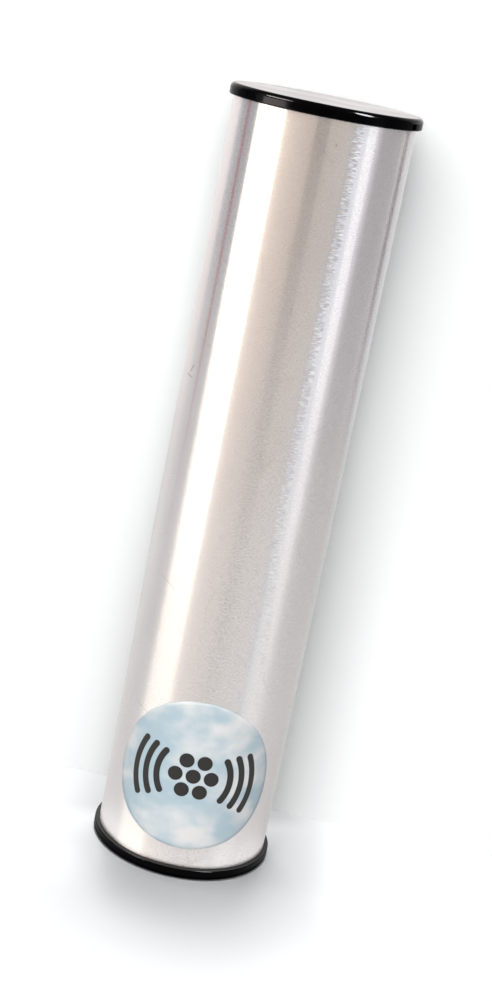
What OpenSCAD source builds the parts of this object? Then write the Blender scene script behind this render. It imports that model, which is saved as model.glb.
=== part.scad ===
// Tube shaker: a metal tube closed by two plastic end caps, with loose round shot inside.
// It stands upright on its bottom cap. The origin is the middle of the base, and +Z runs
// along the tube. The round label faces -Y.

/* [Tube] */
// Outside diameter of the tube
tube_od = 50.8; // [44:0.2:64]
// Wall thickness of the tube
tube_wall = 1.2; // [0.8:0.1:2]
// Length of the cut tube, which is the distance between the two flanges
tube_len = 218.5; // [120:0.5:320]
// Width of the broken edge on both rims of the tube
rim_break = 0.2; // [0.1:0.05:0.3]

/* [End caps] */
// Thickness of the flange that covers each end
flange_t = 3.2; // [2.4:0.1:5]
// How far the flange stands out past the tube
flange_lip = 1.4; // [1:0.05:3]
// Radius of the flange edge on its outer face
outer_round = 1.3; // [0.5:0.1:2.4]
// Radius of the flange edge on the side of the tube
inner_round = 0.3; // [0.2:0.1:2]
// How deep the hollow skirt reaches into the tube
skirt_depth = 12; // [8:0.5:20]
// Thickness of the skirt where it meets the flange
skirt_wall = 1.9; // [1.4:0.1:2.6]
// How much the skirt thins from its root to its tip, as moulding draft
skirt_draft = 0.25; // [0.1:0.05:0.5]
// Radial gap between the skirt and the bore of the tube
skirt_clearance = 0.25; // [0.15:0.05:0.5]
// Number of sealing ribs round the skirt
rib_count = 3; // [1:1:4]
// Radius of the rounded crest of a rib
rib_round = 0.6; // [0.4:0.1:0.8]
// Radial gap between the crest of a rib and the bore
rib_clearance = 0.05; // [0.02:0.01:0.1]
// Length of the tapered lead-in at the tip of the skirt
lead_len = 1.8; // [1:0.1:2.5]
// How far the lead-in narrows the tip
lead_in = 0.6; // [0.3:0.1:0.8]
// Fillet inside the cap, between floor and skirt
floor_fillet = 1; // [0.5:0.1:2]

/* [Label] */
// Width of the round label before it is wrapped round the tube
label_w = 49.2; // [20:0.2:60]
// Height of the label
label_h = 46; // [20:0.5:60]
// How far both sides of the label hang below its middle
label_sag = 2.6; // [0:0.1:4]
// Thickness of the label
label_t = 0.15; // [0.1:0.05:0.4]
// Thickness of the glue under the label
glue_t = 0.02; // [0.01:0.01:0.05]
// Distance between the bottom flange and the lower edge of the label
label_margin = 6; // [2:0.1:40]

/* [Shot] */
// Diameter of one ball
ball_d = 4.5; // [3.5:0.1:5]
// Side gap between neighbouring columns of balls, in which they slide past each other
column_gap = 0.15; // [0.1:0.05:0.3]
// Height gap between the balls of one column
stack_gap = 0.05; // [0.03:0.01:0.1]
// Least gap between the shot and the skirt round it
side_gap = 0.3; // [0.2:0.1:1]
// Gap between the shot and the floor of the cap under it
floor_gap = 0.05; // [0.03:0.01:0.1]
// Number of balls in one column
layers = 5; // [2:1:8]

/* [Hidden] */
$fn = 96;
// One overrun for every cut
cut = 1;
// Length between two points on the outline of the label
label_step = 1.5;

tube_r = tube_od / 2;
bore_r = tube_r - tube_wall;
overall_len = tube_len + 2 * flange_t;
flange_r = tube_r + flange_lip;

// The edge rounds never take more than the lip and the flange have
inner_edge = min(inner_round, flange_lip, flange_t / 2);
outer_edge = min(outer_round, flange_t - inner_edge);

skirt_r = bore_r - skirt_clearance;
skirt_in_r = skirt_r - skirt_wall;
rib_crest_r = bore_r - rib_clearance;
// The skirt is rooted half way into the flange, so that the two are one moulding
skirt_root = flange_t / 2;
skirt_tip = flange_t + skirt_depth;
rib_pitch = (skirt_depth - lead_len) / (rib_count + 1);

label_in_r = tube_r + glue_t;
label_z = flange_t + label_margin + label_h / 2;

// The shot lies in straight columns on a hexagonal plan, so that each packet of columns
// can slide the whole length of the chamber past the packets beside it.
ball_r = ball_d / 2;
column_pitch = ball_d + column_gap;
layer_pitch = ball_d + stack_gap;
ring_count = floor((skirt_in_r - side_gap - ball_r) / column_pitch);
// The three outermost rings are split into six sectors each, and the rest is the core
BANDS = ["inner", "middle", "outer"];
SECTORS = [1:6];
sector_turn = 60;
core_rings = ring_count - len(BANDS);
stack_h = ball_d + (layers - 1) * layer_pitch;
travel = tube_len - stack_h - 2 * floor_gap;
echo(balls = layers * (1 + 3 * ring_count * (ring_count + 1)), travel = travel, overall = overall_len);

function packet_name(band, sector) = str("shot_", BANDS[band], "_", sector);

// The sliver that a round of radius r takes off a square corner. The corner is at the
// origin and the stock lies towards -X and -Y.
module corner_round(r) {
    difference() {
        translate([-r, -r])
            square([r + cut, r + cut]);
        translate([-r, -r])
            circle(r = r);
    }
}

// Half section of the flange, with its outer face on the X axis and both edges rounded
module flange_section() {
    difference() {
        square([flange_r, flange_t]);
        translate([flange_r, flange_t])
            corner_round(inner_edge);
        translate([flange_r, 0])
            mirror([0, 1])
                corner_round(outer_edge);
    }
}

// Half section of the skirt, with draft inside and a lead-in taper outside
module skirt_section() {
    polygon([
        [skirt_in_r, skirt_root],
        [skirt_r, skirt_root],
        [skirt_r, skirt_tip - lead_len],
        [skirt_r - lead_in, skirt_tip],
        [skirt_in_r + skirt_draft, skirt_tip],
        [skirt_in_r, flange_t + floor_fillet]
    ]);
}

// The fillet fills the inside corner between the floor and the skirt
module floor_fillet_section() {
    translate([skirt_in_r, flange_t])
        mirror([0, 1])
            corner_round(floor_fillet);
}

module rib_section(z) {
    translate([rib_crest_r - rib_round, z])
        circle(r = rib_round);
}

// One end cap with its outer face on the base plane and its skirt pointing up
module end_cap() {
    rotate_extrude()
        union() {
            flange_section();
            skirt_section();
            floor_fillet_section();
            for (i = [1:rib_count])
                rib_section(flange_t + i * rib_pitch);
        }
}

module bottom_cap() {
    color("#161616")
        end_cap();
}

module top_cap() {
    color("#161616")
        translate([0, 0, overall_len])
            mirror([0, 0, 1])
                end_cap();
}

// The tube stands on the bottom flange and carries the top one, face to face
module tube() {
    low = flange_t;
    high = flange_t + tube_len;
    color("#c9c9c7")
        rotate_extrude()
            polygon([
                [bore_r + rim_break, low],
                [tube_r - rim_break, low],
                [tube_r, low + rim_break],
                [tube_r, high - rim_break],
                [tube_r - rim_break, high],
                [bore_r + rim_break, high],
                [bore_r, high - rim_break],
                [bore_r, low + rim_break]
            ]);
}

// How far a point of the label that is wrapped round by that angle lies behind its middle
function wrap_depth(angle) = tube_r * (1 - cos(angle));

// A flat round label wrapped round the front of the tube: a thin shell, cut by the
// outline that the wrapped label shows from the front.
module label() {
    steps = ceil(PI * max(label_w, label_h) / label_step);
    half_turn = label_w / 2 / tube_r * 180 / PI;
    outline = [for (i = [0:steps - 1])
        let (turn = 360 * i / steps, angle = half_turn * cos(turn))
        [
            tube_r * sin(angle),
            label_h / 2 * sin(turn) - label_sag * wrap_depth(angle) / wrap_depth(half_turn)
        ]];
    shell_h = label_h + 2 * label_sag + 2 * cut;
    color("#cfe2ec")
        translate([0, 0, label_z])
            intersection() {
                difference() {
                    cylinder(r = label_in_r + label_t, h = shell_h, center = true);
                    cylinder(r = label_in_r, h = shell_h + 2 * cut, center = true);
                }
                rotate([90, 0, 0])
                    linear_extrude(height = tube_od)
                        polygon(outline);
            }
}

function axis_turn(k) = [cos(k * sector_turn), sin(k * sector_turn)];

// Plan position of column j of one sector, on one hexagonal ring
function column_place(ring, sector, j) =
    column_pitch * (ring * axis_turn(sector) + j * axis_turn(sector + 2));

// One straight column of balls, standing on the floor of the bottom cap
module column(place) {
    for (layer = [0:layers - 1])
        translate([place.x, place.y, flange_t + floor_gap + ball_r + layer * layer_pitch])
            sphere(r = ball_r, $fn = 48);
}

// The columns of one sector on one ring: as many as the ring's number
module packet(ring, sector) {
    for (j = [0:ring - 1])
        column(column_place(ring, sector, j));
}

module shot_core() {
    color("#8f9296") {
        column([0, 0]);
        if (core_rings > 0)
            for (ring = [1:core_rings], sector = SECTORS)
                packet(ring, sector);
    }
}

module shot_packet(band, sector) {
    color("#8f9296")
        packet(core_rings + 1 + band, sector);
}

tube();
top_cap();
bottom_cap();
label();
shot_core();
for (band = [0:len(BANDS) - 1], sector = SECTORS)
    shot_packet(band, sector);
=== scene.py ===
"""The looks of a tube shaker: a brushed aluminium tube, two black moulded end caps, a round
paper label and loose steel shot. It stands upright, as the CAD frame does, and the label faces
-Y. Lengths are in metres, unless a comment says otherwise."""

import math

import bmesh
import bpy
from mathutils import Matrix, Vector


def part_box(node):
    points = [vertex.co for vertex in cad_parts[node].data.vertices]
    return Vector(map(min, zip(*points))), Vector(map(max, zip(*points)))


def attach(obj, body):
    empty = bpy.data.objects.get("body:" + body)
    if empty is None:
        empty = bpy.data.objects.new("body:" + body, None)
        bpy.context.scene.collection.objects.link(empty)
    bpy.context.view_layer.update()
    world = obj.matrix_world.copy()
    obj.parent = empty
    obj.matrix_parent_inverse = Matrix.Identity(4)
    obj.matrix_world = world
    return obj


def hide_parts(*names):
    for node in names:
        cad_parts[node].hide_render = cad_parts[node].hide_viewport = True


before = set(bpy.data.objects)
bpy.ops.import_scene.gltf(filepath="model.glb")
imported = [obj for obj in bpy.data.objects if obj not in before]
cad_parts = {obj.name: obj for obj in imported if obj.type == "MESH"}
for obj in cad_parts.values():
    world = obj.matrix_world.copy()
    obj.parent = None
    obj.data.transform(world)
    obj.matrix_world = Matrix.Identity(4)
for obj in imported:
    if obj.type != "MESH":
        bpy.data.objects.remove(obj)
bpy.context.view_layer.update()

MM = 0.001

# Sizes that the frame gives
TUBE_LOW, TUBE_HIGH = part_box("tube")
TUBE_R = TUBE_HIGH.x
LABEL_LOW, LABEL_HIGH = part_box("label")
LABEL_Z = (LABEL_LOW.z + LABEL_HIGH.z) / 2
LABEL_H = LABEL_HIGH.z - LABEL_LOW.z
MIDDLE = (TUBE_LOW.z + TUBE_HIGH.z) / 2

# Sizes that the boxes don't give, as in the part's source
TUBE_WALL = 1.2 * MM
RIM_BREAK = 0.2 * MM
GLUE_T = 0.02 * MM
LABEL_T = 0.15 * MM
LABEL_W = 49.2 * MM
LABEL_SAG = 2.6 * MM

# The camera, fitted to the photograph. Angles are in degrees.
IMAGE_LONG_SIDE = 1001
SENSOR = 36
FOCAL_PIXELS = 1799.7
CAMERA_DISTANCE = 502.2 * MM
CAMERA_HEIGHT = 250.1 * MM
CAMERA_AZIMUTH = -0.62
CAMERA_YAW = -0.050
CAMERA_PITCH = 15.686
CAMERA_ROLL = 11.322


def grey(level):
    return (level, level, level, 1.0)


def rgb(red, green, blue):
    return (red, green, blue, 1.0)


def wrap_depth(across):
    """How far behind the front of the tube a point lies, as a share of the tube's radius."""
    return 1 - math.cos(across / TUBE_R)


class Shader:
    """The nodes of a new material or world, made by short calls. A value is a number, a tuple
    or a socket."""

    def __init__(self, name, blocks=None):
        if blocks is None:
            blocks = bpy.data.materials
        self.block = blocks.new(name)
        self.block.use_nodes = True
        self.tree = self.block.node_tree
        self.tree.nodes.clear()

    def add(self, kind, inputs, out=0, **settings):
        node = self.tree.nodes.new("ShaderNode" + kind)
        for key, value in settings.items():
            setattr(node, key, value)
        for key, value in inputs.items():
            if isinstance(value, bpy.types.NodeSocket):
                self.tree.links.new(value, node.inputs[key])
            else:
                node.inputs[key].default_value = value
        return node.outputs[out]

    def finish(self, surface, kind="Material"):
        output = self.tree.nodes.new("ShaderNodeOutput" + kind)
        self.tree.links.new(surface, output.inputs["Surface"])
        return self.block

    def math(self, operation, *values):
        return self.add("Math", dict(enumerate(values)), operation=operation)

    def plus(self, a, b):
        return self.math("ADD", a, b)

    def minus(self, a, b):
        return self.math("SUBTRACT", a, b)

    def product(self, first, *others):
        for other in others:
            first = self.math("MULTIPLY", first, other)
        return first

    def absolute(self, value):
        return self.math("ABSOLUTE", value)

    def larger(self, a, b):
        return self.math("MAXIMUM", a, b)

    def smaller(self, a, b):
        return self.math("MINIMUM", a, b)

    def clamp(self, value, low, high):
        return self.smaller(self.larger(value, low), high)

    def fade(self, value, low, high, start=0.0, end=1.0):
        """Goes smoothly from start to end while value goes from low to high."""
        inputs = {0: value, 1: low, 2: high, 3: start, 4: end}
        return self.add("MapRange", inputs, interpolation_type="SMOOTHSTEP")

    def vector(self, operation, *values):
        return self.add("VectorMath", dict(enumerate(values)), operation=operation)

    def measure(self, operation, *values):
        """A vector operation that gives a number."""
        return self.add("VectorMath", dict(enumerate(values)), out=1, operation=operation)

    def times(self, vector, number):
        return self.add("VectorMath", {0: vector, 3: number}, operation="SCALE")

    def split(self, vector):
        node = self.add("SeparateXYZ", {0: vector}).node
        return [node.outputs[i] for i in range(3)]

    def point(self, x, y, z=0.0):
        return self.add("CombineXYZ", {0: x, 1: y, 2: z})

    def polar(self, angle, distance):
        across = self.product(self.math("COSINE", angle), distance)
        up = self.product(self.math("SINE", angle), distance)
        return self.point(across, up)

    def mix(self, share, a, b):
        return self.add("Mix", {0: share, 6: a, 7: b}, out=2, data_type="RGBA")

    def noise(self, place, stretch, detail=2.0, roughness=0.5):
        """Noise from 0 to 1, with that many features a metre along x, y and z."""
        scaled = self.vector("MULTIPLY", place, stretch)
        inputs = {"Vector": scaled, "Scale": 1.0, "Detail": detail, "Roughness": roughness}
        return self.add("TexNoise", inputs)

    def object_place(self):
        return self.add("TexCoord", {}, out="Object")

    def geometry(self, out):
        return self.add("NewGeometry", {}, out=out)

    def ray(self, kind):
        return self.add("LightPath", {}, out=kind)

    def principled(self, inputs):
        return self.add("BsdfPrincipled", inputs)


def turn_and_height(s, place):
    """The angle of that place round the tube, from its front, and its height."""
    x, y, z = s.split(place)
    return s.math("ARCTAN2", x, s.product(y, -1.0)), z


# The metal of the tube
METAL = (0.82, 0.785, 0.77)
# A quarter turn, which lays the wide side of a reflection along the tube
BRUSH_TURN = 0.25
# The ragged edge of one reflection, right of the front: two heights, and its angle at both
RAGGED_HEIGHTS = (45 * MM, 125 * MM)
RAGGED_TURNS = (math.radians(34), math.radians(21.5))
# How much the grooves waver sideways, there and elsewhere, and along the tube
RAGGED_WAVER = 0.85
PLAIN_WAVER = 0.003
UPWARD_WAVER = 0.006
# Scratches on the tube: arc and height of both ends in mm, half width in mm, and depth of tone
SCRATCHES = [
    (-25.8, 88.0, -22.3, 87.0, 0.09, 0.12),
    (-22.4, 87.0, -16.3, 85.2, 0.10, 0.24),
    (-15.0, 89.5, -11.6, 92.5, 0.10, 0.08),
    (-23.7, 48.0, -17.3, 46.2, 0.10, 0.20),
    (-26.7, 148.0, -28.0, 146.0, 0.20, 0.40),
    (-29.9, 144.8, -26.8, 144.5, 0.16, 0.40),
    (-19.1, 155.3, -17.7, 155.0, 0.14, 0.14),
    (4.2, 215.5, 4.3, 214.8, 0.14, 0.35),
    (3.3, 130.0, -0.3, 114.0, 0.12, 0.04),
    (-0.3, 114.0, -6.9, 99.0, 0.12, 0.05),
]


def scratch_tone(s, point):
    """How much the scratches darken that point, which is given as arc and height in mm."""
    tone = 0.0
    for x0, z0, x1, z1, half_width, depth in SCRATCHES:
        run = Vector((x1 - x0, z1 - z0, 0.0))
        reach = s.vector("SUBTRACT", point, (x0, z0, 0.0))
        along = s.measure("DOT_PRODUCT", reach, tuple(run / run.length_squared))
        share = s.clamp(along, 0.0, 1.0)
        gap = s.measure("DISTANCE", reach, s.times(tuple(run), share))
        line = s.fade(gap, half_width * 0.4, half_width * 1.6, depth, 0.0)
        tone = s.larger(tone, line)
    return tone


def groove_normal(s, turn, height, tangent, groove, dash):
    """The normal, tilted by the grooves, which waver most where a reflection is ragged."""
    ragged = s.fade(height, *RAGGED_HEIGHTS, *RAGGED_TURNS)
    off_ragged = s.absolute(s.minus(turn, ragged))
    waver = s.fade(off_ragged, math.radians(1), math.radians(5), RAGGED_WAVER, PLAIN_WAVER)
    sideways = s.product(s.minus(groove, 0.5), waver)
    upward = s.product(s.minus(dash, 0.5), UPWARD_WAVER)
    tilt = s.vector("ADD", s.times(tangent, sideways), s.point(0.0, 0.0, upward))
    return s.vector("NORMALIZE", s.vector("ADD", s.geometry("Normal"), tilt))


def brushed_aluminium():
    """Bare metal, brushed round the tube. Fine marks give a narrow lobe and coarse ones a wide
    lobe along the tube."""
    s = Shader("brushed_aluminium")
    place = s.object_place()
    turn, height = turn_and_height(s, place)
    lobe = s.noise(place, (1600.0, 1600.0, 40000.0), detail=0.0)
    dash = s.noise(place, (520.0, 520.0, 3400.0), detail=2.0)
    groove = s.noise(place, (420.0, 420.0, 4600.0), detail=1.0)
    tangent = s.add("Tangent", {}, direction_type="RADIAL", axis="Z")

    marks = s.plus(s.product(dash, 0.7), s.product(groove, 0.3))
    bright = s.fade(marks, 0.35, 0.65, 0.99, 1.01)
    smudge = s.noise(place, (34.0, 34.0, 26.0), detail=4.0, roughness=0.6)
    stained = s.fade(smudge, 0.40, 0.68, 1.0, 0.965)
    # Hairlines run where a noise crosses its middle, in worn patches
    loop = s.absolute(s.minus(s.noise(place, (60.0, 60.0, 42.0), detail=0.0), 0.5))
    worn = s.fade(s.noise(place, (120.0, 120.0, 80.0), detail=1.0), 0.52, 0.60)
    hairline = s.product(s.fade(loop, 0.002, 0.008, 0.06, 0.0), worn)
    arc = s.point(s.product(turn, TUBE_R / MM), s.product(height, 1 / MM))
    dark = s.larger(scratch_tone(s, arc), hairline)
    tone = s.product(bright, stained, s.minus(1.0, dark))
    return s.finish(s.principled({
        "Base Color": s.times(METAL, tone),
        "Metallic": 1.0,
        "Roughness": s.fade(lobe, 0.40, 0.60, 0.19, 0.38),
        "Anisotropic": 1.0,
        "Anisotropic Rotation": BRUSH_TURN,
        "Tangent": tangent,
        "Normal": groove_normal(s, turn, height, tangent, groove, dash),
    }))


# The plastic of the caps and its dust, and a painted reflection of the tube on the ledge
# beside it. The ledge beside the tube lies deeper than LEDGE_DEPTH under the outer face.
BLACK = rgb(0.0006, 0.0006, 0.0009)
DUSTY_BLACK = rgb(0.002, 0.002, 0.0025)
LEDGE_PAINTED_REFLECTION = rgb(0.05, 0.048, 0.048)
LEDGE_DEPTH = 2 * MM


def black_plastic():
    """Glossy moulded plastic with a little dust, and a painted reflection on the ledge by the
    tube.
    """
    s = Shader("black_plastic")
    place = s.object_place()
    dust = s.noise(place, (1400.0, 1400.0, 1400.0), detail=2.0)
    cloud = s.noise(place, (70.0, 70.0, 70.0), detail=2.0)
    colour = s.mix(s.fade(dust, 0.62, 0.8), BLACK, DUSTY_BLACK)
    level = s.absolute(s.split(s.geometry("Normal"))[2])
    off_middle = s.absolute(s.minus(s.split(place)[2], MIDDLE))
    edge = MIDDLE - LEDGE_DEPTH
    inner = s.fade(off_middle, edge - 0.5 * MM, edge, 1.0, 0.0)
    # Painted reflection: the upward faces of the ledge next to the tube are lighter, as if they
    # mirrored the tube
    ledge = s.product(s.fade(level, 0.8, 0.97), inner)
    return s.finish(s.principled({
        "Base Color": s.mix(ledge, colour, LEDGE_PAINTED_REFLECTION),
        "Roughness": s.fade(cloud, 0.3, 0.7, 0.09, 0.13),
        "IOR": 1.09,
    }))


# The print of the label
SKY = rgb(0.43, 0.545, 0.61)
CLOUD = rgb(0.735, 0.73, 0.735)
INK = rgb(0.016, 0.015, 0.014)
THIN_INK = rgb(0.023, 0.022, 0.021)
# Its motif, in mm: one bead amid a ring of six, and swing marks at both sides
BEAD_R = 2.2
BEAD_RING_R = 5.3
BEAD_STEP = math.pi / 3
# Radius of each swing mark, and half of the angle that it covers
SWING_MARKS = ((11.0, 34.0), (14.6, 31.0), (18.2, 28.0))
SWING_HALF_WIDTH = 1.0
PRINT_BLUR = 0.06


def motif_gap(s, across, up):
    """The distance of that point from the nearest bead or mark, which is less than 0 inside."""
    distance = s.measure("LENGTH", s.point(across, up))
    gap = s.minus(distance, BEAD_R)

    turn = s.math("ARCTAN2", up, across)
    whole_steps = s.math("ROUND", s.math("DIVIDE", turn, BEAD_STEP))
    folded = s.polar(s.minus(turn, s.product(whole_steps, BEAD_STEP)), distance)
    off_bead = s.measure("DISTANCE", folded, (BEAD_RING_R, 0.0, 0.0))
    gap = s.smaller(gap, s.minus(off_bead, BEAD_R))

    side = s.absolute(across)
    angle = s.math("ARCTAN2", up, side)
    for mark_r, half_turn in SWING_MARKS:
        reach = math.radians(half_turn)
        on_mark = s.polar(s.clamp(angle, -reach, reach), mark_r)
        off_mark = s.measure("DISTANCE", on_mark, s.point(side, up))
        gap = s.smaller(gap, s.minus(off_mark, SWING_HALF_WIDTH))
    return gap


def label_paper():
    """Coated paper with a soft sky print and a motif of beads and swing marks."""
    s = Shader("label_paper")
    place = s.object_place()
    turn, height = turn_and_height(s, place)
    # The place on the flat label, in mm
    across = s.product(turn, TUBE_R / MM)
    depth = s.minus(1.0, s.math("COSINE", turn))
    sag = s.product(depth, LABEL_SAG / wrap_depth(LABEL_W / 2))
    up = s.product(s.plus(s.minus(height, LABEL_Z), sag), 1 / MM)

    bank = s.noise(place, (62.0, 62.0, 105.0), detail=2.5, roughness=0.45)
    puff = s.noise(place, (210.0, 210.0, 260.0), detail=2.0)
    cover = s.plus(s.product(bank, 0.8), s.product(puff, 0.2))
    sky = s.mix(s.fade(cover, 0.40, 0.64), SKY, CLOUD)

    fibre = s.noise(place, (2600.0, 2600.0, 2600.0), detail=2.0)
    printed = s.fade(motif_gap(s, across, up), -PRINT_BLUR, PRINT_BLUR, 1.0, 0.0)
    return s.finish(s.principled({
        "Base Color": s.mix(printed, sky, s.mix(fibre, INK, THIN_INK)),
        "Roughness": s.fade(fibre, 0.3, 0.7, 0.42, 0.5),
        "IOR": 1.4,
        "Normal": s.add("Bump", {"Strength": 0.08, "Distance": 0.1 * MM, "Height": fibre}),
    }))


def polished_steel():
    s = Shader("polished_steel")
    grain = s.noise(s.object_place(), (1800.0, 1800.0, 1800.0), detail=2.0)
    return s.finish(s.principled({
        "Base Color": s.mix(grain, rgb(0.50, 0.50, 0.51), rgb(0.58, 0.58, 0.59)),
        "Metallic": 1.0,
        "Roughness": s.fade(grain, 0.3, 0.7, 0.16, 0.24),
    }))


def new_object(name, data):
    made = bpy.data.objects.new(name, data)
    bpy.context.scene.collection.objects.link(made)
    return made


def from_lists(name, points, faces):
    mesh = bpy.data.meshes.new(name)
    mesh.from_pydata(points, [], faces)
    mesh.validate()
    shape = bmesh.new()
    shape.from_mesh(mesh)
    bmesh.ops.recalc_face_normals(shape, faces=shape.faces)
    shape.to_mesh(mesh)
    shape.free()
    return new_object(name, mesh)


def smooth_below(made, degrees):
    """Smooth shading, with a hard edge wherever two faces meet at more than that angle."""
    made.data.shade_smooth()
    made.data.set_sharp_from_angle(angle=math.radians(degrees))


def dress(piece, material):
    piece.data.materials.clear()
    piece.data.materials.append(material)


def lathe(name, section, steps):
    """A closed section of (radius, height) points, turned round the axis."""
    rows = len(section)
    points = []
    for i in range(steps):
        turn = 2 * math.pi * i / steps
        points += [(r * math.sin(turn), -r * math.cos(turn), z) for r, z in section]
    faces = []
    for i in range(steps):
        for j in range(rows):
            a, b = i * rows, (i + 1) % steps * rows
            k = (j + 1) % rows
            faces.append((a + j, b + j, b + k, a + k))
    return from_lists(name, points, faces)


def tube_section(rows=24):
    low, high = TUBE_LOW.z, TUBE_HIGH.z
    bore = TUBE_R - TUBE_WALL
    straight = high - low - 2 * RIM_BREAK
    levels = [low + RIM_BREAK + straight * i / rows for i in range(rows + 1)]
    outside = [(TUBE_R, z) for z in levels]
    inside = [(bore, z) for z in reversed(levels)]
    top = [(TUBE_R - RIM_BREAK, high), (bore + RIM_BREAK, high)]
    bottom = [(bore + RIM_BREAK, low), (TUBE_R - RIM_BREAK, low)]
    return outside + top + inside + bottom


def label_point(share, turn, height):
    """A point of the label: share of the way to its edge, at that height over the tube."""
    across = LABEL_W / 2 * share * math.cos(turn)
    sag = LABEL_SAG * wrap_depth(across) / wrap_depth(LABEL_W / 2)
    angle = across / TUBE_R
    r = TUBE_R + height
    up = LABEL_H / 2 * share * math.sin(turn) - sag
    return (r * math.sin(angle), -r * math.cos(angle), LABEL_Z + up)


def label_mesh(name, rings=20, steps=128):
    """A rounded sticker with a thin rolled edge, closed underneath."""
    top, under = GLUE_T + LABEL_T, GLUE_T
    roll = 0.05 * MM
    shells = [(i / rings, top) for i in range(1, rings)]
    shells += [(1 - 2 * roll / LABEL_H, top), (1, top - roll), (1, under)]
    shells += [(i / rings, under) for i in range(rings - 1, 0, -1)]
    points = [label_point(0, 0, top)]
    for share, height in shells:
        points += [label_point(share, 2 * math.pi * i / steps, height) for i in range(steps)]
    points.append(label_point(0, 0, under))
    last = len(points) - 1
    faces = []
    for i in range(steps):
        k = (i + 1) % steps
        faces.append((0, 1 + i, 1 + k))
        for ring in range(len(shells) - 1):
            a, b = 1 + ring * steps, 1 + (ring + 1) * steps
            faces.append((a + i, b + i, b + k, a + k))
        start = 1 + (len(shells) - 1) * steps
        faces.append((last, start + k, start + i))
    return from_lists(name, points, faces)


# The object: new meshes for the tube and the label, new materials for the caps and the shot
metal = brushed_aluminium()
plastic = black_plastic()
paper = label_paper()
steel = polished_steel()

tube = lathe("tube_brushed", tube_section(), steps=384)
smooth_below(tube, 30)
dress(tube, metal)
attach(tube, "shell")
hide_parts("tube")

sticker = label_mesh("label_sticker")
smooth_below(sticker, 50)
dress(sticker, paper)
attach(sticker, "shell")
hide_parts("label")

caps = [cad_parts[cap] for cap in ("top_cap", "bottom_cap")]
for cap in caps:
    cap.material_slots[0].material = plastic
for name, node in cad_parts.items():
    if name.startswith("shot_"):
        node.material_slots[0].material = steel


def azimuth_point(azimuth, distance, height):
    """A point at that azimuth from the middle of the object. 0 is towards -Y, 90 towards +X."""
    turn = math.radians(azimuth)
    return Vector((distance * math.sin(turn), -distance * math.cos(turn), height))


def make_camera():
    data = bpy.data.cameras.new("camera")
    data.sensor_width = SENSOR
    data.lens = FOCAL_PIXELS / IMAGE_LONG_SIDE * SENSOR
    data.clip_start = 0.01
    camera = new_object("camera", data)
    yaw, pitch, roll = (math.radians(a) for a in (CAMERA_YAW, CAMERA_PITCH, CAMERA_ROLL))
    level = math.cos(pitch)
    forward = Vector((math.sin(yaw) * level, math.cos(yaw) * level, -math.sin(pitch)))
    right = forward.cross(Vector((0, 0, 1))).normalized()
    up = right.cross(forward)
    right, up = (
        math.cos(roll) * right + math.sin(roll) * up,
        -math.sin(roll) * right + math.cos(roll) * up,
    )
    axes = Matrix((right, up, -forward)).transposed()
    turn = Matrix.Rotation(math.radians(CAMERA_AZIMUTH), 3, "Z")
    camera.matrix_world = (turn @ axes).to_4x4()
    camera.location = azimuth_point(CAMERA_AZIMUTH, CAMERA_DISTANCE, CAMERA_HEIGHT)
    return camera


bpy.context.scene.camera = make_camera()

# The studio: the world's light, a floor, and white paper that stands behind the object
WORLD_LEVEL = 0.344
FLOOR_HALF = 4.0
SWEEP_HALF = 0.15
SWEEP_TOP = 0.42
SWEEP_BACK = 32 * MM
SWEEP_SLOPE = 0.04
PAPER = (0.89, 0.90, 0.915)
# How bright the metal mirrors the floor: in front, near and far, and behind, left and right
FRONT_NEAR, FRONT_FAR = 1.15, 0.62
BACK_LEFT, BACK_RIGHT = 0.50, 0.40
# How much of the lamps' light on the floor it mirrors besides
LIT_FLOOR_IN_GLOSS = 0.28
# Round walls that only the gloss sees, in degrees from the camera's azimuth, and their colour
# at each end
ROOM_R = 0.6
ROOM_H = 1.5
PANELS = [
    ("back_wall", -180, -134, (0.97, 0.94, 0.94), (0.95, 0.92, 0.92)),
    ("left_wall", -134, -84, (0.88, 0.85, 0.85), (0.76, 0.73, 0.73)),
    ("left_softbox", -84, -47, (3.0, 2.8, 2.5), (3.0, 2.8, 2.45)),
    ("warm_wall", -47, 0, (1.02, 0.85, 0.73), (0.58, 0.50, 0.44)),
    ("beige_wall", 0, 41, (0.60, 0.53, 0.47), (0.65, 0.60, 0.56)),
    ("blue_edge", 41, 46, (0.24, 0.30, 0.42), (0.24, 0.30, 0.42)),
    ("right_wing", 46, 58, (0.92, 1.0, 1.10), (0.97, 1.01, 1.08)),
    ("right_strip", 58, 70.5, (1.42, 1.44, 1.52), (1.40, 1.42, 1.50)),
    ("right_fade", 70.5, 79, (0.95, 0.96, 1.03), (0.56, 0.56, 0.60)),
    ("grey_wall", 79, 134, (0.47, 0.46, 0.49), (0.51, 0.50, 0.53)),
    ("right_ramp", 134, 148, (0.50, 0.50, 0.53), (0.69, 0.70, 0.73)),
    ("right_wall", 148, 165, (0.70, 0.71, 0.74), (0.66, 0.67, 0.70)),
    ("pale_back", 165, 180, (0.84, 0.83, 0.88), (0.95, 0.92, 0.94)),
]
# Things that stand nearer: both azimuths, distance, foot, head and colour
STANDS = [
    ("grey_flag", -126, -88, 0.59, 0.08, 1.4, (0.42, 0.44, 0.49)),
    ("red_stand", -106.5, -103, 0.45, 0.06, 0.9, (0.38, 0.02, 0.02)),
    ("softbox_edge", -88, -84, 0.585, 0.08, 1.4, (3.0, 2.8, 2.5)),
    ("camera_body", -7, 9, 0.56, 0.173, 0.42, (0.22, 0.19, 0.17)),
    ("dark_gap", 123.5, 134.5, 0.59, 0.10, 1.4, (0.0, 0.0, 0.02)),
    ("high_back", 120, 240, 0.58, 0.233, 0.7, (1.40, 1.34, 1.33)),
]


def hide_from(made, *rays):
    for ray in rays:
        setattr(made, "visible_" + ray, False)


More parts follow.
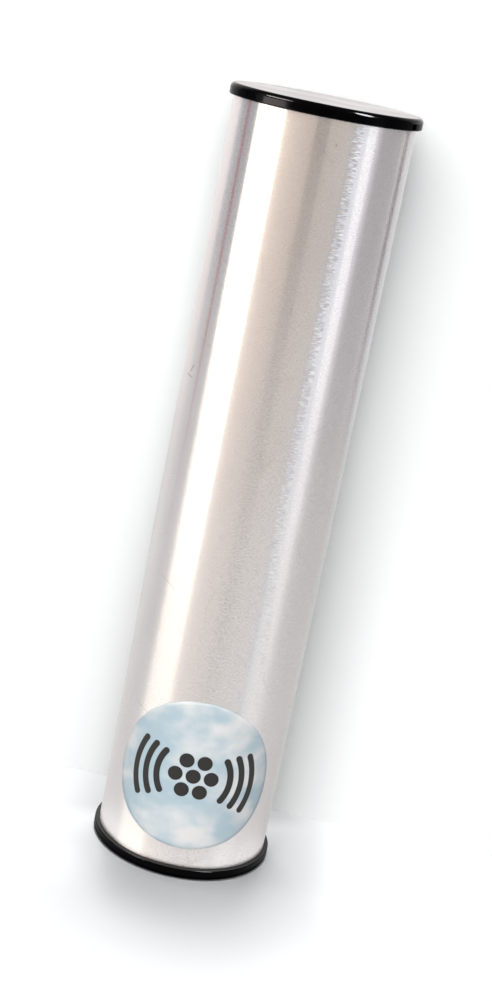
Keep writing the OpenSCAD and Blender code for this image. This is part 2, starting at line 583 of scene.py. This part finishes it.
def glow_material():
    """The paper doesn't see the panels by way of the tube."""
    s = Shader("panel_glow")
    colour = s.add("Attribute", {}, attribute_name="glow")
    strength = s.fade(s.ray("Diffuse Depth"), 0.0, 1.0, 1.0, 0.0)
    return s.finish(s.add("Emission", {"Color": colour, "Strength": strength}))


panel_glow = glow_material()


def panel(name, start, end, first, last, distance=ROOM_R, foot=0.0, head=ROOM_H):
    steps = max(1, round(end - start))
    points, faces, colours = [], [], []
    for i in range(steps + 1):
        share = i / steps
        azimuth = CAMERA_AZIMUTH + start + (end - start) * share
        place = azimuth_point(azimuth, distance, 0)
        points += [(place.x, place.y, foot), (place.x, place.y, head)]
        colour = [a + (b - a) * share for a, b in zip(first, last)]
        colours += [*colour, 1.0] * 2
    for i in range(steps):
        faces.append((2 * i, 2 * i + 2, 2 * i + 3, 2 * i + 1))
    mesh = bpy.data.meshes.new(name)
    mesh.from_pydata(points, [], faces)
    glow = mesh.color_attributes.new("glow", "FLOAT_COLOR", "POINT")
    glow.data.foreach_set("color", colours)
    made = new_object(name, mesh)
    hide_from(made, "camera", "diffuse", "transmission", "volume_scatter", "shadow")
    dress(made, panel_glow)


def paper_surface(s, colour, glow):
    surface = s.add("BsdfDiffuse", {"Color": colour})
    light = s.add("Emission", {"Color": grey(1.0), "Strength": glow})
    return s.add("AddShader", {0: surface, 1: light})


def mirrored_floor(s, x, y, away):
    """How bright the metal sees the floor. It is brightest just in front of the object."""
    to_right = s.math("DIVIDE", x, away)
    to_back = s.math("DIVIDE", y, away)
    front = s.fade(away, 34 * MM, 50 * MM, FRONT_NEAR, FRONT_FAR)
    back = s.fade(to_right, -0.7, 0.7, BACK_LEFT, BACK_RIGHT)
    back = s.product(back, s.fade(to_back, 0.75, 1.0, 1.0, 0.78))
    bright = s.fade(to_back, -0.5, 0.6, front, back)
    far = s.fade(away, 0.1, 0.4, 1.0, 1.12)
    under_cap = s.fade(away, 27.5 * MM, 30 * MM, 0.0, 1.0)
    return s.product(bright, far, under_cap)


def contact_shade(s, x, y, away):
    """The part of the soft shade round the foot that the lamps alone don't give."""
    # Behind both sides, in the corner with the paper. It reaches 6 mm further at the right.
    aside = s.larger(x, s.minus(6 * MM, x))
    least = s.fade(aside, 28 * MM, 44 * MM, 0.70, 0.90)
    corner = s.fade(s.minus(y, s.product(x, 0.3)), 8 * MM, 21 * MM, 1.0, least)
    corner = s.larger(corner, s.fade(away, 40 * MM, 60 * MM))
    corner = s.fade(s.absolute(x), 30 * MM, 50 * MM, corner, 1.0)
    # In front it is darker left of the middle, and a little lighter at both ends
    toe = s.fade(x, -34 * MM, -14 * MM, 1.12, 0.85)
    toe = s.product(toe, s.fade(x, -10 * MM, 30 * MM, 1.0, 1.235))
    toe = s.fade(away, 36 * MM, 62 * MM, toe, 1.0)
    toe = s.fade(y, -30 * MM, -12 * MM, toe, 1.0)
    return s.product(corner, toe)


def floor_paper():
    """The lamps light it near the object, and it glows white to the camera further out."""
    s = Shader("floor_paper")
    place = s.object_place()
    x, y = s.split(place)[:2]
    away = s.measure("LENGTH", place)
    gloss = s.ray("Is Glossy Ray")
    camera = s.larger(s.ray("Is Camera Ray"), s.ray("Is Transmission Ray"))
    distant = s.plus(s.fade(away, 0.15, 0.6, 0.0, 0.60), s.fade(away, 0.6, 1.6, 0.0, 0.40))
    seen = s.product(camera, distant)
    mirrored = s.product(gloss, mirrored_floor(s, x, y, away))
    level = s.fade(gloss, 0.0, 1.0, 1.0, LIT_FLOOR_IN_GLOSS)
    level = s.product(level, contact_shade(s, x, y, away))
    return s.finish(paper_surface(s, s.times(PAPER, level), s.plus(seen, mirrored)))


def sweep_paper():
    """The key light is weaker near the floor, so the paper glows there. Beside the object, low
    down, painted shade darkens its colour and glow, where the shade of the floor goes on. From
    behind the paper can't be seen."""
    s = Shader("sweep_paper")
    x, _, height = s.split(s.object_place())
    # Painted shade beside the object, deepest near the floor
    beside = s.fade(height, 40 * MM, 160 * MM, 0.84, 1.0)
    aside = s.larger(x, s.minus(3 * MM, x))
    shade = s.fade(aside, 27 * MM, 52 * MM, beside, 1.0)
    glow = s.fade(height, 0.0, 0.2, 0.15, 0.02)
    surface = paper_surface(s, s.times(PAPER, shade), s.product(glow, shade))
    clear = s.add("BsdfTransparent", {})
    return s.finish(s.add("MixShader", {0: s.geometry("Backfacing"), 1: surface, 2: clear}))


def flat_sheet(name, points, material):
    mesh = bpy.data.meshes.new(name)
    mesh.from_pydata(points, [], [tuple(range(len(points)))])
    made = new_object(name, mesh)
    dress(made, material)
    return made


def make_floor():
    half = FLOOR_HALF
    corners = [(-half, -half, 0), (half, -half, 0), (half, half, 0), (-half, half, 0)]
    made = flat_sheet("floor", corners, floor_paper())
    hide_from(made, "diffuse")
    return made


def make_sweep():
    """White paper that stands behind the object and takes its shadow. Only the camera sees it.
    It is turned a little, so that it doesn't show in a side view."""
    left = (-SWEEP_HALF, SWEEP_BACK + SWEEP_HALF * SWEEP_SLOPE)
    right = (SWEEP_HALF, SWEEP_BACK - SWEEP_HALF * SWEEP_SLOPE)
    corners = [(*left, 0), (*right, 0), (*right, SWEEP_TOP), (*left, SWEEP_TOP)]
    made = flat_sheet("sweep", corners, sweep_paper())
    hide_from(made, "diffuse", "glossy", "transmission", "shadow")
    return made


def make_world():
    """White to the camera, and dimmer as light on the object."""
    s = Shader("world", bpy.data.worlds)
    strength = s.fade(s.ray("Is Camera Ray"), 0.0, 1.0, WORLD_LEVEL, 1.0)
    background = s.add("Background", {"Color": grey(1.0), "Strength": strength})
    return s.finish(background, "World")


for row in PANELS:
    panel(*row)
for name, start, end, distance, foot, head, colour in STANDS:
    panel(name, start, end, colour, colour, distance, foot, head)
floor = make_floor()
sweep = make_sweep()
bpy.context.scene.world = make_world()

# Lamps: azimuth from the camera's own, elevation, distance, width, height, radiance and colour
WHITE = (1.0, 1.0, 1.0)
ROOM_LAMPS = [
    ("key", -12, 30, 0.8, 0.60, 0.60, 5.9, (1.0, 0.99, 0.97)),
    ("fill", 0, 8, 0.8, 0.30, 0.30, 6.3, WHITE),
]
# Both hang over the object and throw its shadow on the floor, not on the paper behind it
SHADOW_LAMPS = [
    ("over_back", 176, 81.4, 1.15, 0.124, 0.247, 67.0, WHITE),
    ("over_left", -90, 86.9, 1.15, 0.50, 0.04, 188.0, WHITE),
]
# These give the plastic its highlights and light nothing else
CAP_LAMPS = [
    ("cap_patch", -61, -4, 0.5, 0.44, 0.30, 42.0, (1.0, 0.86, 0.90)),
    ("cap_line", -59, 36, 0.5, 0.27, 0.10, 240.0, (1.0, 0.98, 0.95)),
    ("cap_glint", 50, 44, 0.5, 0.14, 0.26, 430.0, WHITE),
]


def area_light(name, azimuth, elevation, distance, width, height, radiance, colour):
    """An oval lamp, aimed at the middle of the object."""
    data = bpy.data.lights.new(name, "AREA")
    data.shape = "ELLIPSE"
    data.size = width
    data.size_y = height
    data.energy = radiance * math.pi * (math.pi / 4 * width * height)
    data.color = colour
    light = new_object(name, data)
    rise = math.radians(elevation)
    out, up = distance * math.cos(rise), distance * math.sin(rise)
    offset = azimuth_point(CAMERA_AZIMUTH + azimuth, out, up)
    light.location = Vector((0, 0, MIDDLE)) + offset
    light.rotation_mode = "QUATERNION"
    light.rotation_quaternion = offset.to_track_quat("Z", "Y")
    return light


def link_light(light, pieces, state):
    """Lights only those pieces, or all but those, as the state says."""
    linked = bpy.data.collections.new(light.name + "_linked")
    for piece in pieces:
        linked.objects.link(piece)
    for entry in linked.collection_objects:
        entry.light_linking.link_state = state
    light.light_linking.receiver_collection = linked


for lamps, unseen, pieces, state in (
    (ROOM_LAMPS, "glossy", [floor], "EXCLUDE"),
    (SHADOW_LAMPS, "glossy", [sweep], "EXCLUDE"),
    (CAP_LAMPS, "diffuse", caps, "INCLUDE"),
):
    for lamp in lamps:
        light = area_light(*lamp)
        hide_from(light, "camera", unseen)
        link_light(light, pieces, state)

bpy.context.scene.view_settings.view_transform = "Standard"
